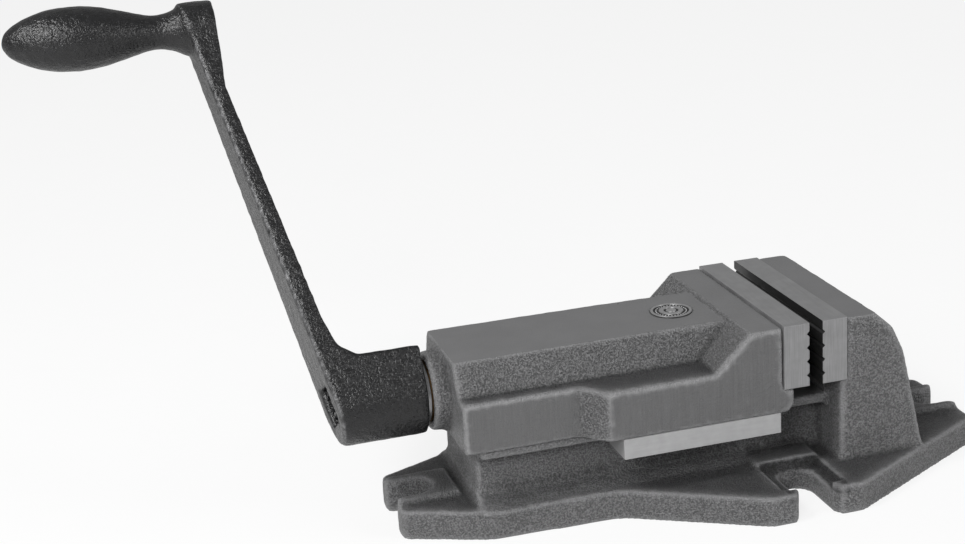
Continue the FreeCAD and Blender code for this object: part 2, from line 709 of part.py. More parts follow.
def crank_front_view():
    """The crank seen along X: the hub's round, a tapered arm and the boss's round."""
    start = crank_outer_face("2 * crank_reach")
    length = f"-{start}"
    arm = prism("arm_front", "YZ",
                [("-hub_radius", "0"), ("hub_radius", "0"), ("arm_top_half", "crank_reach"),
                 ("-arm_top_half", "crank_reach")], start, length)
    hub = doc.addObject("Part::Cone", "hub_bar")
    bind(hub, Radius1="hub_radius - hub_draft", Radius2="hub_radius",
         Height=f"{HUB_FACE} - {crank_outer_face('-hub_radius')}")
    place(hub, (HUB_FACE, "0", "0"), TURN_TO["-X"])
    outer_hub = rod("outer_hub_bar", "-X", (crank_outer_face("-hub_radius"), "0", "0"), "hub_radius",
                    "hub_radius")
    boss = rod("boss_bar", "X", (start, "0", "crank_reach"), "crank_boss_radius", length)
    return join("crank_front_view", [arm, hub, outer_hub, boss])


def crank_handle():
    """The club-shaped handle, turned from one smooth curve through its named radii."""
    length, neck, belly, root = (number(formula) for formula in (
        "handle_length", "handle_neck", "handle_belly", "crank_boss_radius - root_step"))
    face, start = number(crank_outer_face("crank_reach")), number(f"{BOSS_INNER} - root_step")
    buried = start - face
    along_and_radius = [(0.0, root), (0.06, neck + 0.35 * (root - neck)), (0.16, neck),
                        (0.27, 0.66 * belly), (0.39, 0.84 * belly), (0.5, 0.96 * belly), (0.62, belly),
                        (0.74, 0.94 * belly), (0.84, 0.79 * belly), (0.92, 0.58 * belly),
                        (0.97, 0.38 * belly), (0.993, 0.19 * belly)]
    points = [FreeCAD.Vector(-buried - share * length, 0, radius) for share, radius in along_and_radius]
    tip = FreeCAD.Vector(-buried - length, 0, 0)
    curve = Part.BSplineCurve()
    curve.interpolate(Points=points + [tip])
    centre = FreeCAD.Vector(0, 0, 0)
    rim = FreeCAD.Vector(0, 0, root)
    edges = [curve.toShape(), Part.makeLine(tip, centre), Part.makeLine(centre, rim),
             Part.makeLine(rim, points[0])]
    solid = Part.Face(Part.Wire(edges)).revolve(centre, FreeCAD.Vector(1, 0, 0), 360)
    handle = doc.addObject("Part::Feature", "crank_handle")
    handle.Shape = solid
    handle.Placement = FreeCAD.Placement(
        FreeCAD.Vector(start, 0, number("crank_reach")),
        FreeCAD.Rotation(FreeCAD.Vector(0, 1, 0), number("handle_tilt")))
    return handle


def crank():
    """The crank in one casting, pushed on the spindle's square and turned back from upright."""
    solid = join("crank_solid", [overlap("crank_arm", [crank_side_view(), crank_front_view()]),
                                 crank_handle()])
    half = "(square_across / 2 + square_gap)"
    socket = block("crank_socket", "-crank_outer - hub_radius", f"{HUB_FACE} + 1", f"-{half}", half,
                   f"-{half}", half)
    upright = cut("crank", solid, [socket])
    return place(upright, ("0", "0", SPINDLE_LINE), crank_turning())


def check_document():
    """Stop if any object failed to build."""
    for item in doc.Objects:
        if "Invalid" in item.State or "Error" in item.State:
            raise RuntimeError(f"{item.Name} did not build: {item.State}")


def write_pieces(pieces):
    """Check each piece's solids and write one STEP file for each."""
    check_document()
    os.makedirs("parts", exist_ok=True)
    for piece in pieces:
        shape = piece.Shape
        if shape.isNull() or not shape.isValid() or not shape.Solids:
            raise RuntimeError(f"{piece.Label} has no valid solid")
        print(f"{piece.Label}: {len(shape.Solids)} solid(s), {shape.Volume / 1000:.1f} cm3")
        shape.exportStep(f"parts/{piece.Label}.step")


def main():
    """Build every piece, then write them."""
    pieces = [
        base_casting(),
        jaw_plate("fixed_jaw_plate", "0", "+"),
        jaw_plate_screws("fixed_jaw_screws", "0", "+"),
        spindle_nut(),
        nut_screws(),
        moving_jaw_casting(),
        jaw_plate("moving_jaw_plate", MOVING_FACE, "-"),
        jaw_plate_screws("moving_jaw_screws", MOVING_FACE, "-"),
        guide_strip("guide_strip_front", "-"),
        guide_strip("guide_strip_back", "+"),
        guide_strip_screws("guide_strip_front_screws", "-"),
        guide_strip_screws("guide_strip_back_screws", "+"),
        badge_disc(),
        ring("bearing_bush", "-boss_left", "boss_left - slide_left + end_wall",
             "journal_radius + running_gap", "bush_radius"),
        spindle(),
        ring("outer_thrust_washer", WASHER_LEFT, "washer_thick", "journal_radius", "shoulder_radius"),
        ring("inner_thrust_washer", INNER_WASHER_LEFT, "washer_thick", "thread_radius",
             "collar_radius"),
        thrust_collar(),
        rod("collar_pin", "Y", (COLLAR_MIDDLE, "-collar_radius + 0.5", SPINDLE_LINE),
            "pin_radius", "2 * collar_radius - 1"),
        crank(),
    ]
    doc.recompute()
    write_pieces(pieces)


main()
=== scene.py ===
"""Dresses a cast machine vise with its finishes and sets it on a pale floor.

Each operator makes one piece, or one group of like pieces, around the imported
frame. Castings are copies of the frame's own forms, given a closed skin whose
edges are worn round, with the milled faces cut flat again afterwards.
"""

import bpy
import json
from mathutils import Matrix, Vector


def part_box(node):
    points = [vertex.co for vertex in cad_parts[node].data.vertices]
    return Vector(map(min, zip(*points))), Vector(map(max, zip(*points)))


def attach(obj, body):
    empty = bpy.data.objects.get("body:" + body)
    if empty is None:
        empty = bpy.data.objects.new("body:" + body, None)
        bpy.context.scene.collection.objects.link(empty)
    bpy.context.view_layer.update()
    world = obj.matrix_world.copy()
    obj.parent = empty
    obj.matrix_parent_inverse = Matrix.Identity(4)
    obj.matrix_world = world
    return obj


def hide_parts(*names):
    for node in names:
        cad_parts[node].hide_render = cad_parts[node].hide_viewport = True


bl_info = {
    "name": "Machine vise finishes",
    "version": (1, 0, 0),
    "blender": (4, 5, 0),
    "location": "3D View > Sidebar > Vise",
    "description": "Castings, ground steel and a black crank for a machine vise",
    "category": "Object",
}

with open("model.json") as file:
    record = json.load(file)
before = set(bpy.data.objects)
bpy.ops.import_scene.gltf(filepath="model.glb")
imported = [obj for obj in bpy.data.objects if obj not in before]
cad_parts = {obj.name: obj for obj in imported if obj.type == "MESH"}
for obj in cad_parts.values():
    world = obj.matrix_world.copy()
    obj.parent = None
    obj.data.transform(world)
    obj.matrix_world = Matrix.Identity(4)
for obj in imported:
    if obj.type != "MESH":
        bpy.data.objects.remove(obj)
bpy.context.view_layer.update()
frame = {"nodes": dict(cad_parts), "record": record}

import json
import math

import bmesh
import bpy
import numpy as np
from bpy.props import FloatProperty, FloatVectorProperty, IntProperty, PointerProperty
from bpy.types import Operator, Panel, PropertyGroup
from mathutils import Matrix, Vector

MM = 0.001

# Sizes of the cast skins
ON_FACE = 0.02 * MM
NEAR_FACE = 0.05 * MM
EASE = 0.6
LONG_LUMP = 14 * MM
SHORT_LUMP = 5 * MM
FULL_EDGE_BEND = 0.12 * MM
RIM_SPREADS = 14

# Places on the castings that the frame has no box for
MILLED_PAST_PLATE = 4 * MM
BED_HALF_WIDTH = 40 * MM
SEAT_BEYOND_SLOT = (7.3 * MM, 9.8 * MM, 0.0)
SEAT_FLOOR = 10 * MM
HEAD_START = -34.6 * MM
TUNNEL_HALF_WIDTH = 24.5 * MM
BADGE_PROUD = 0.4 * MM
LEDGE_ABOVE_PLATE_FOOT = 15 * MM
WING_HALF_WIDTH = 38 * MM

# The crank's skin
CRANK_VOXEL = 0.8 * MM
CRANK_PASSES = 10
CRANK_LUMP = 0.05 * MM
# Painted highlight along the crank's sharpest edges that face front and left
CRANK_HIGHLIGHT_BEND = (0.03 * MM, 0.08 * MM)
CRANK_HIGHLIGHT_WAY = (-0.7, -0.7, 0.1)
SOCKET_CLEAR = (11 * MM, 13 * MM)

# Edges and rings
PLATE_EDGE = 0.35 * MM
STRIP_EDGE = 0.3 * MM
BADGE_DIP = 0.45 * MM
BADGE_EDGE = 0.3 * MM
RING_SLOPE = 0.2 * MM
BEAD_COUNT = 30
BEAD_RADIUS = 0.42 * MM

# Fixed shades, in linear light
# Paler mix for convex cast edges: worn paint and a painted highlight
WORN_EDGE_HIGHLIGHT = (0.33, 0.33, 0.335, 1.0)
# Darker colour for concave creases
CREASE_DARK = (0.012, 0.012, 0.012, 1.0)
# Painted shade on the jaw plates' faces that look into the gap between the jaws
PLATE_GAP_SHADE = (0.018, 0.018, 0.018, 1.0)
# Painted shade in the badge's sunk grooves
BADGE_GROOVE_SHADE = (0.015, 0.015, 0.015, 1.0)
# Painted highlight along the crank's edges
CRANK_EDGE_HIGHLIGHT = (0.22, 0.22, 0.225, 1.0)
WHITE = (1.0, 1.0, 1.0, 1.0)

# The stage
FLOOR_HALF = 3.0
FLOOR_DROP = 0.05 * MM
FLOOR_GLOW = 0.82
LAMP_AIM = (-0.1, 0.0, 0.06)
LAMP_WIDTH = 0.7
TOP_LAMP_WIDTH = 0.4
FRONT_LAMP_PLACE = (-1.2, -1.5, 1.2)
SIDE_LAMP_PLACE = (1.4, -1.2, 0.9)
TOP_LAMP_PLACE = (-1.1, -0.35, 1.35)
SENSOR_WIDTH = 36


def colour(name, words, shade):
    """A colour setting, in linear light."""
    return FloatVectorProperty(name=name, description=words, default=(*shade, 1.0), size=4,
                               subtype="COLOR", min=0.0, max=1.0)


def length(name, words, millimetres):
    """A length setting, in metres."""
    return FloatProperty(name=name, description=words, default=millimetres * MM, subtype="DISTANCE",
                         unit="LENGTH", precision=5)


class VISE_PG_castings(PropertyGroup):
    """Skin and paint of the grey castings."""
    side_grey: colour("Cast sides", "Grey of the upright cast faces", (0.138, 0.138, 0.140))
    # Painted shade: the darker grey given to cast faces that lie flat
    flat_shade_grey: colour("Cast flats", "Grey of cast faces that lie flat", (0.040, 0.040, 0.041))
    milled_grey: colour("Milled faces", "Grey of the milled tops", (0.130, 0.130, 0.132))
    voxel: length("Skin step", "Size of one facet of the skin", 1.25)
    passes: IntProperty(name="Rounding", description="How many times the skin is eased", default=4)
    lump: length("Lump height", "How far the cast skin wanders", 0.07)
    grain: length("Grain", "Size of one grain of the rough skin", 1.05)
    grain_depth: length("Grain depth", "Height of one grain of the rough skin", 1.0)


class VISE_PG_metals(PropertyGroup):
    """Colours of the bare and blackened metal."""
    plate_grey: colour("Jaw plates", "Ground steel of the jaw plates", (0.222, 0.222, 0.225))
    strip_grey: colour("Guide strips", "Ground steel of the guide strips", (0.335, 0.335, 0.338))
    turned_grey: colour("Turned steel", "Spindle, washers and collar", (0.330, 0.330, 0.335))
    bronze: colour("Bronze", "Nut, bush and thrust washer", (0.150, 0.095, 0.045))
    screw_black: colour("Screws", "Black oxide on the cap screws", (0.020, 0.020, 0.022))
    crank_black: colour("Crank", "Gloss black of the crank", (0.005, 0.005, 0.0055))
    badge_grey: colour("Badge", "Pale metal of the round badge", (0.300, 0.300, 0.303))


class VISE_PG_view(PropertyGroup):
    """Where the camera stands, the lamps and the floor."""
    yaw: FloatProperty(name="Yaw", description="Turn to the right of +Y", default=0.26, unit="ROTATION")
    pitch: FloatProperty(name="Pitch", description="Dip below level", default=0.312, unit="ROTATION")
    roll: FloatProperty(name="Roll", description="Lean about the line of sight", default=-0.064,
                        unit="ROTATION")
    place: FloatVectorProperty(name="Camera", description="Where the camera stands", size=3,
                               default=(-0.3460, -0.7559, 0.3674), subtype="XYZ", unit="LENGTH")
    lens: FloatProperty(name="Lens", description="Focal length on a 36 mm sensor", default=67.33,
                        unit="CAMERA")
    floor_shade: colour("Floor", "Pale floor", (0.80, 0.80, 0.80))
    sky: FloatProperty(name="Surroundings", description="Strength of the even light", default=0.34)
    key: FloatProperty(name="Front lamp", description="Watts of the front lamp", default=25.5)
    fill: FloatProperty(name="Side lamp", description="Watts of the side lamp", default=12.0)
    top: FloatProperty(name="Top lamp", description="Watts of the lamp above the crank", default=14.0)


# Numpy surfaces

def waves(points, size, seed):
    """Smooth lumps: the sum of sine waves that run in scattered directions, each about one size long."""
    chance = np.random.default_rng(seed)
    heading = chance.normal(size=(24, 3))
    heading /= np.linalg.norm(heading, axis=1, keepdims=True)
    spacing = size * chance.uniform(0.7, 1.5, 24)
    start = chance.uniform(0, 2 * math.pi, 24)
    return np.sin(points @ (heading / spacing[:, None]).T * 2 * math.pi + start).sum(axis=1) / 3.5


def coordinates(mesh):
    """A mesh's points as an array, one row each."""
    flat = np.empty(len(mesh.vertices) * 3)
    mesh.vertices.foreach_get("co", flat)
    return flat.reshape(-1, 3)


def normals(mesh):
    """A mesh's point normals as an array, one row each."""
    flat = np.empty(len(mesh.vertices) * 3, dtype=np.float32)
    mesh.vertex_normals.foreach_get("vector", flat)
    return flat.reshape(-1, 3).astype(float)


def put(mesh, points):
    """Write an array of points back into its mesh."""
    mesh.vertices.foreach_set("co", points.ravel())
    mesh.update()


def neighbours(mesh):
    """The two ends of every edge, and how many edges meet at each point."""
    ends = np.empty(len(mesh.edges) * 2, dtype=np.int64)
    mesh.edges.foreach_get("vertices", ends)
    ends = ends.reshape(-1, 2)
    return ends, np.bincount(ends.ravel(), minlength=len(mesh.vertices))[:, None]


def around(points, ends, count):
    """The mean of the points that each point shares an edge with."""
    total = np.empty_like(points)
    for axis in range(points.shape[1]):
        both = np.bincount(ends[:, 0], points[ends[:, 1], axis], len(points))
        total[:, axis] = both + np.bincount(ends[:, 1], points[ends[:, 0], axis], len(points))
    return total / count


def step_up(value, low, high):
    """0 below low, 1 above high, and a smooth rise between."""
    share = np.clip((value - low) / (high - low), 0.0, 1.0)
    return share * share * (3 - 2 * share)


def revolved(name, profile, centre, axis, turns=72):
    """A lathe surface: (distance along the axis, radius) pairs swept round the axis through the centre."""
    along, radius = np.array(profile, dtype=float).T
    angle = np.linspace(0, 2 * math.pi, turns, endpoint=False)
    axis = np.array(axis, dtype=float)
    side = np.cross(axis, (0.0, 1.0, 0.0) if abs(axis[1]) < 0.9 else (1.0, 0.0, 0.0))
    side /= np.linalg.norm(side)
    other = np.cross(axis, side)
    ring = np.cos(angle)[:, None] * side + np.sin(angle)[:, None] * other
    points = np.array(centre) + along[:, None, None] * axis + radius[:, None, None] * ring
    rows = np.arange(len(profile) - 1)[:, None] * turns
    here = np.arange(turns)[None, :]
    after = (here + 1) % turns
    quads = np.stack([rows + here, rows + after, rows + turns + after, rows + turns + here], axis=-1)
    return new_piece(name, points.reshape(-1, 3), quads.reshape(-1, 4))


def new_piece(name, points, faces):
    """A mesh object from arrays, welded and turned outwards."""
    mesh = bpy.data.meshes.new(name)
    mesh.from_pydata(points.tolist(), [], faces.tolist())
    shape = bmesh.new()
    shape.from_mesh(mesh)
    bmesh.ops.remove_doubles(shape, verts=shape.verts, dist=1e-6)
    bmesh.ops.recalc_face_normals(shape, faces=shape.faces)
    shape.to_mesh(mesh)
    shape.free()
    piece = bpy.data.objects.new(name, mesh)
    bpy.context.scene.collection.objects.link(piece)
    return piece


def frame_copy(node, name):
    """A merged copy of one of the frame's nodes, as a piece of its own."""
    mesh = frame["nodes"][node].data.copy()
    mesh.materials.clear()
    shape = bmesh.new()
    shape.from_mesh(mesh)
    bmesh.ops.remove_doubles(shape, verts=shape.verts, dist=1e-6)
    shape.to_mesh(mesh)
    shape.free()
    mesh.name = name
    piece = bpy.data.objects.new(name, mesh)
    bpy.context.scene.collection.objects.link(piece)
    return piece


def settle(piece):
    """Make a piece's modifiers part of its mesh."""
    layer = bpy.context.evaluated_depsgraph_get()
    finished = bpy.data.meshes.new_from_object(piece.evaluated_get(layer))
    old = piece.data
    piece.modifiers.clear()
    piece.data = finished
    bpy.data.meshes.remove(old)
    return finished


def dress(piece, body, nodes, material, smooth=True):
    """Give a piece its finish, its body and the nodes that it stands for."""
    piece.data.materials.clear()
    piece.data.materials.append(material)
    piece.data.polygons.foreach_set("use_smooth", [smooth] * len(piece.data.polygons))
    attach(piece, body)
    if nodes:
        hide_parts(*nodes)
    return piece


def paint_values(mesh, name, values):
    """Store one number for each point, for the material to read."""
    layer = mesh.attributes.new(name, "FLOAT", "POINT")
    layer.data.foreach_set("value", values.astype(np.float32))


class Face:
    """A milled face: its axis and level, the stretch of X and Y it covers, and how crisp its edge is."""

    def __init__(self, axis, level, facing=1, x=(-1, 1), y=(-1, 1), crisp=1.2 * MM):
        self.axis, self.level, self.facing = axis, level, facing
        self.x, self.y, self.crisp = x, y, crisp

    def covers(self, points, depth):
        """Which points lie on or beyond the face, or less than a depth behind it."""
        beyond = (points[:, self.axis] - self.level) * self.facing > -depth
        inside = (points[:, 0] > self.x[0]) & (points[:, 0] < self.x[1])
        return beyond & inside & (points[:, 1] > self.y[0]) & (points[:, 1] < self.y[1])


def cast_skin(node, name, faces, looks, dark_below, sanded=None, seats=()):
    """A casting with worn edges and a lumpy skin.

    Each milled face is first raised a little, the whole form is given an even
    closed skin and eased towards the mean of its neighbours, then lumps are
    added along the normals, and last the milled faces are cut back flat. How
    far a point stands out from the mean of its neighbours says how sharp the
    edge is there. Cast faces that lie flat below a height are marked for a
    painted shade, and the sunk seats, given as their low and high corners, are
    marked to be painted just as dark.
    """
    piece = frame_copy(node, name)
    points = coordinates(piece.data)
    for face in faces:
        on_face = face.covers(points, ON_FACE) & ~face.covers(points, -ON_FACE)
        points[on_face, face.axis] += face.crisp * face.facing
    put(piece.data, points)
    skin = piece.modifiers.new("skin", "REMESH")
    skin.mode = "VOXEL"
    skin.voxel_size = looks.voxel
    mesh = settle(piece)
    ends, count = neighbours(mesh)
    points = coordinates(mesh)
    for _ in range(looks.passes):
        points += EASE * (around(points, ends, count) - points)
    put(mesh, points)
    outward = normals(mesh)
    wander = 0.6 * waves(points, LONG_LUMP, 11) + 0.4 * waves(points, SHORT_LUMP, 12)
    points += outward * (wander * looks.lump)[:, None]
    for face in faces:
        beyond = face.covers(points, 0.0)
        points[beyond, face.axis] = face.level
    put(mesh, points)
    outward = normals(mesh)
    milled = np.zeros(len(points))
    for face in faces:
        flat = face.covers(points, NEAR_FACE) & (outward[:, face.axis] * face.facing > 0.9)
        milled[flat] = 1.0
    bend = ((points - around(points, ends, count)) * outward).sum(axis=1)
    ridge = np.clip(bend / FULL_EDGE_BEND, -1.0, 1.0)
    rim = np.maximum(ridge, 0.0)[:, None]
    for _ in range(RIM_SPREADS):
        rim = 0.3 * rim + 0.7 * around(rim, ends, count)
    # Cast faces that lie flat below a height are marked for a painted shade
    low = 1 - step_up(points[:, 2], dark_below - 1 * MM, dark_below + 1 * MM)
    flat = step_up(outward[:, 2], 0.7, 0.97) * low * (1 - milled)
    for corner, opposite in seats:
        sunk = ((points > corner) & (points < opposite)).all(axis=1)
        flat[sunk], rim[sunk] = 1.0, 0.0
    paint_values(mesh, "milled", milled)
    paint_values(mesh, "sanded", sanded(points, outward) if sanded else np.zeros(len(points)))
    paint_values(mesh, "flat", flat)
    paint_values(mesh, "ridge", ridge * (1 - milled))
    paint_values(mesh, "rim", rim[:, 0])
    return piece


def soft_edges(node, name, width, segments=2):
    """A machined piece: a copy of its node with every sharp edge broken by a small bevel."""
    piece = frame_copy(node, name)
    bevel = piece.modifiers.new("broken edges", "BEVEL")
    bevel.width = width
    bevel.segments = segments
    bevel.limit_method = "ANGLE"
    bevel.angle_limit = math.radians(35)
    bevel.use_clamp_overlap = True
    bevel.harden_normals = False
    settle(piece)
    return piece


# Materials

def blank_material(name):
    """A material with its shader, and short words to add nodes and links to it."""
    material = bpy.data.materials.new(name)
    material.use_nodes = True
    tree = material.node_tree
    shader = tree.nodes["Principled BSDF"]

    def add(kind, **settings):
        node = tree.nodes.new(kind)
        for key, value in settings.items():
            if hasattr(node, key):
                setattr(node, key, value)
            else:
                node.inputs[key.replace("_", " ")].default_value = value
        return node

    def link(source, target):
        tree.links.new(source, target)

    return material, shader, add, link


def noise(add, link, scale, detail=3.0, roughness=0.55, stretch=(1, 1, 1)):
    """Three-dimensional noise in the piece's own coordinates, scaled along each axis."""
    place = add("ShaderNodeTexCoord")
    turn = add("ShaderNodeMapping", Scale=stretch)
    texture = add("ShaderNodeTexNoise", Scale=scale, Detail=detail, Roughness=roughness)
    link(place.outputs["Object"], turn.inputs["Vector"])
    link(turn.outputs["Vector"], texture.inputs["Vector"])
    return texture.outputs["Fac"]


def granules(add, link, scale):
    """Rounded grains packed close together: 1 at the middle of a grain and 0 between grains."""
    place = add("ShaderNodeTexCoord")
    texture = add("ShaderNodeTexVoronoi", feature="F1", Scale=scale, Randomness=1.0)
    link(place.outputs["Object"], texture.inputs["Vector"])
    return ramp(add, link, texture.outputs["Distance"], 0.1, 0.8, (1.0, 0.0))


def ramp(add, link, source, low, high, shades=(0.0, 1.0)):
    """Spread the stretch of a value from low to high over two shades."""
    spread = add("ShaderNodeMapRange")
    spread.inputs["From Min"].default_value = low
    spread.inputs["From Max"].default_value = high
    spread.inputs["To Min"].default_value = shades[0]
    spread.inputs["To Max"].default_value = shades[1]
    link(source, spread.inputs["Value"])
    return spread.outputs["Result"]


def reckon(add, link, operation, first, second):
    """Arithmetic on two values, each a socket or a number."""
    node = add("ShaderNodeMath", operation=operation)
    for place, value in enumerate((first, second)):
        if isinstance(value, (int, float)):
            node.inputs[place].default_value = value
        else:
            link(value, node.inputs[place])
    return node.outputs["Value"]


def blend_colour(add, link, share, first, second, mode="MIX"):
    """Two colours mixed by a share, each a socket or a colour."""
    node = add("ShaderNodeMix", data_type="RGBA", blend_type=mode)
    if isinstance(share, (int, float)):
        node.inputs[0].default_value = share
    else:
        link(share, node.inputs[0])
    for place, value in ((6, first), (7, second)):
        if isinstance(value, bpy.types.NodeSocket):
            link(value, node.inputs[place])
        else:
            node.inputs[place].default_value = value
    return node.outputs[2]


def stored(add, name):
    """A number stored on the piece's points."""
    return add("ShaderNodeAttribute", attribute_name=name).outputs["Fac"]


def shades_of(add, link, colour_value, source, low, high):
    """A colour made darker or paler by a value: low at its least and high at its most."""
    factor = ramp(add, link, source, 0.3, 0.7, (low, high))
    grey = add("ShaderNodeCombineColor")
    for channel in ("Red", "Green", "Blue"):
        link(factor, grey.inputs[channel])
    return blend_colour(add, link, 1.0, colour_value, grey.outputs["Color"], "MULTIPLY")


def cast_paint(name, looks, patchiness):
    """Hammered grey paint over a rough casting, dull and fine where the face is milled. Cast faces that
    lie flat get a painted shade, concave creases are painted darker, and convex edges are painted paler,
    as worn paint and a painted highlight.

    Patchiness is how many pale and dark patches there are to a metre.
    """
    material, shader, add, link = blank_material(name)
    milled, sanded = stored(add, "milled"), stored(add, "sanded")
    flat, ridge, rim = stored(add, "flat"), stored(add, "ridge"), stored(add, "rim")
    sand = ramp(add, link, noise(add, link, 1.3 / looks.grain, 2.0, 0.6), 0.3, 0.7)
    grain = reckon(add, link, "ADD", reckon(add, link, "MULTIPLY", sand, 0.68),
                   reckon(add, link, "MULTIPLY", granules(add, link, 1 / looks.grain), 0.32))
    fine = noise(add, link, 2.6 / looks.grain, 2.0, 0.6)
    patches = noise(add, link, patchiness, 3.0, 0.6)
    sides = shades_of(add, link, tuple(looks.side_grey), grain, 0.56, 1.48)
    sides = shades_of(add, link, sides, patches, 0.95, 1.05)
    rubbed = tuple(0.7 * shade for shade in looks.side_grey[:3]) + (1.0,)
    strokes = noise(add, link, 1.0, 3.0, 0.6, (1500.0, 1500.0, 60.0))
    sides = blend_colour(add, link, sanded, sides, shades_of(add, link, rubbed, strokes, 0.88, 1.12))
    # Painted shade on the cast flats, eased towards the side grey near their convex rims
    flats = shades_of(add, link, tuple(looks.flat_shade_grey), grain, 0.55, 1.75)
    flats_shade_eased = blend_colour(add, link, 0.5, tuple(looks.flat_shade_grey), tuple(looks.side_grey))
    flats = blend_colour(add, link, ramp(add, link, rim, 0.02, 0.3), flats, flats_shade_eased)
    tops = shades_of(add, link, tuple(looks.milled_grey), fine, 0.90, 1.10)
    tops = shades_of(add, link, tops, patches, 0.95, 1.05)
    paint = blend_colour(add, link, flat, sides, flats)
    # Convex edges are painted paler, partly as worn paint and partly as a painted highlight
    edge_wear_and_highlight = ramp(add, link, ridge, 0.15, 1.0, (0.0, 0.55))
    paint = blend_colour(add, link, edge_wear_and_highlight, paint, WORN_EDGE_HIGHLIGHT)
    # Concave creases are painted darker
    crease_darkening = ramp(add, link, ridge, -0.9, -0.15, (0.6, 0.0))
    paint = blend_colour(add, link, crease_darkening, paint, CREASE_DARK)
    paint = blend_colour(add, link, milled, paint, tops)
    link(paint, shader.inputs["Base Color"])
    shader.inputs["Metallic"].default_value = 0.0
    link(ramp(add, link, fine, 0.3, 0.7, (0.32, 0.52)), shader.inputs["Roughness"])
    smoothness = reckon(add, link, "MAXIMUM", milled, reckon(add, link, "MULTIPLY", sanded, 0.72))
    rough = reckon(add, link, "SUBTRACT", 1.0, reckon(add, link, "MULTIPLY", smoothness, 0.86))
    height = reckon(add, link, "ADD", grain, reckon(add, link, "MULTIPLY", fine, 0.35))
    bump = add("ShaderNodeBump", Distance=looks.grain_depth)
    link(rough, bump.inputs["Strength"])
    link(height, bump.inputs["Height"])
    link(bump.outputs["Normal"], shader.inputs["Normal"])
    return material


def brushed_steel(name, shade, across, strength=0.25, roughness=(0.32, 0.46), gap_shade_side=0,
                  tones=(0.82, 1.16)):
    """Ground steel whose fine lines run square to the stretched axis, between two tones.

    The side that faces along X, or against it, may be given a painted shade, as if in the shaded gap
    between the jaws: 1, -1, or 0 for neither.
    """
    material, shader, add, link = blank_material(name)
    lines = noise(add, link, 1.0, 3.0, 0.6, across)
    mottle = noise(add, link, 160.0, 3.0, 0.6)
    steel = shades_of(add, link, tuple(shade), lines, *tones)
    steel = shades_of(add, link, steel, mottle, 0.93, 1.07)
    if gap_shade_side:
        facing = add("ShaderNodeSeparateXYZ")
        link(add("ShaderNodeTexCoord").outputs["Normal"], facing.inputs["Vector"])
        # Painted shade on the face that looks into the gap between the jaws
        inner = ramp(add, link, facing.outputs["X"], 0.3 * gap_shade_side, 0.6 * gap_shade_side)
        steel = blend_colour(add, link, inner, steel, PLATE_GAP_SHADE)
    link(steel, shader.inputs["Base Color"])
    shader.inputs["Metallic"].default_value = 0.35
    link(ramp(add, link, lines, 0.3, 0.7, roughness), shader.inputs["Roughness"])
    bump = add("ShaderNodeBump", Distance=0.06 * MM, Strength=strength)
    link(lines, bump.inputs["Height"])
    link(bump.outputs["Normal"], shader.inputs["Normal"])
    return material


def metal(name, shade, metallic, roughness, grain_scale=900.0, strength=0.2, tone=(0.88, 1.1),
          sunk=False):
    """Plain machined metal with a fine, uneven surface, with a painted shade where the piece is marked as
    sunk.
    """
    material, shader, add, link = blank_material(name)
    grain = noise(add, link, grain_scale, 3.0, 0.6)
    coat = shades_of(add, link, tuple(shade), grain, *tone)
    if sunk:
        # Painted shade in the sunk grooves
        coat = blend_colour(add, link, stored(add, "sunk"), coat, BADGE_GROOVE_SHADE)
    link(coat, shader.inputs["Base Color"])
    shader.inputs["Metallic"].default_value = metallic
    link(ramp(add, link, grain, 0.3, 0.7, (roughness - 0.06, roughness + 0.08)),
         shader.inputs["Roughness"])
    bump = add("ShaderNodeBump", Distance=0.1 * MM, Strength=strength)
    link(grain, bump.inputs["Height"])
    link(bump.outputs["Normal"], shader.inputs["Normal"])
    return material


def gloss_black(name, shade):
    """Thick gloss black over a fine cast grain, with a painted highlight along the edges marked in the
    ridge attribute.
    """
    material, shader, add, link = blank_material(name)
    grain = noise(add, link, 900.0, 2.0, 0.55)
    lumps = noise(add, link, 380.0, 2.0, 0.5)
    black = shades_of(add, link, tuple(shade), lumps, 0.6, 1.5)
    broken = ramp(add, link, grain, 0.35, 0.65, (0.5, 1.0))
    # Painted highlight along the marked edges, broken up by the grain
    edge_wear_and_highlight = reckon(add, link, "MULTIPLY", stored(add, "ridge"), broken)
    link(blend_colour(add, link, edge_wear_and_highlight, black, CRANK_EDGE_HIGHLIGHT), shader.inputs["Base Color"])
    link(ramp(add, link, grain, 0.3, 0.7, (0.22, 0.40)), shader.inputs["Roughness"])
    height = reckon(add, link, "ADD", grain, lumps)
    bump = add("ShaderNodeBump", Distance=0.6 * MM, Strength=0.8)
    link(height, bump.inputs["Height"])
    link(bump.outputs["Normal"], shader.inputs["Normal"])
    return material


# Pieces

class VISE_OT_base(Operator):
    """Skin the base casting and mill its bed, jaw top and underside"""
    bl_idname = "vise.base"
    bl_label = "Base casting"

    def execute(self, context):
        looks = context.scene.vise_castings
        jaw_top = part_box("base_casting")[1].z
        bed_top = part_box("spindle_nut")[0].z
        bed_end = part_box("fixed_jaw_plate")[1].x - MILLED_PAST_PLATE
        faces = [Face(2, 0.0, facing=-1), Face(2, jaw_top, x=(bed_end, 1)),
                 Face(2, bed_top, x=(-1, bed_end), y=(-BED_HALF_WIDTH, BED_HALF_WIDTH))]
        beyond = np.array(SEAT_BEYOND_SLOT)
        seats = []
        for opening in frame["record"]["physics"]["openings"]:
            if "side_slot" in opening["name"]:
                corner, opposite = (np.array(point) for point in opening["box_m"])
                corner[2] = SEAT_FLOOR
                seats.append((corner - beyond, opposite + beyond))
        piece = cast_skin("base_casting", "base_skin", faces, looks, bed_top / 2, seats=seats)
        paint = cast_paint("hammered_paint_base", looks, 55.0)
        dress(piece, "base", ["base_casting"], paint)
        return {"FINISHED"}


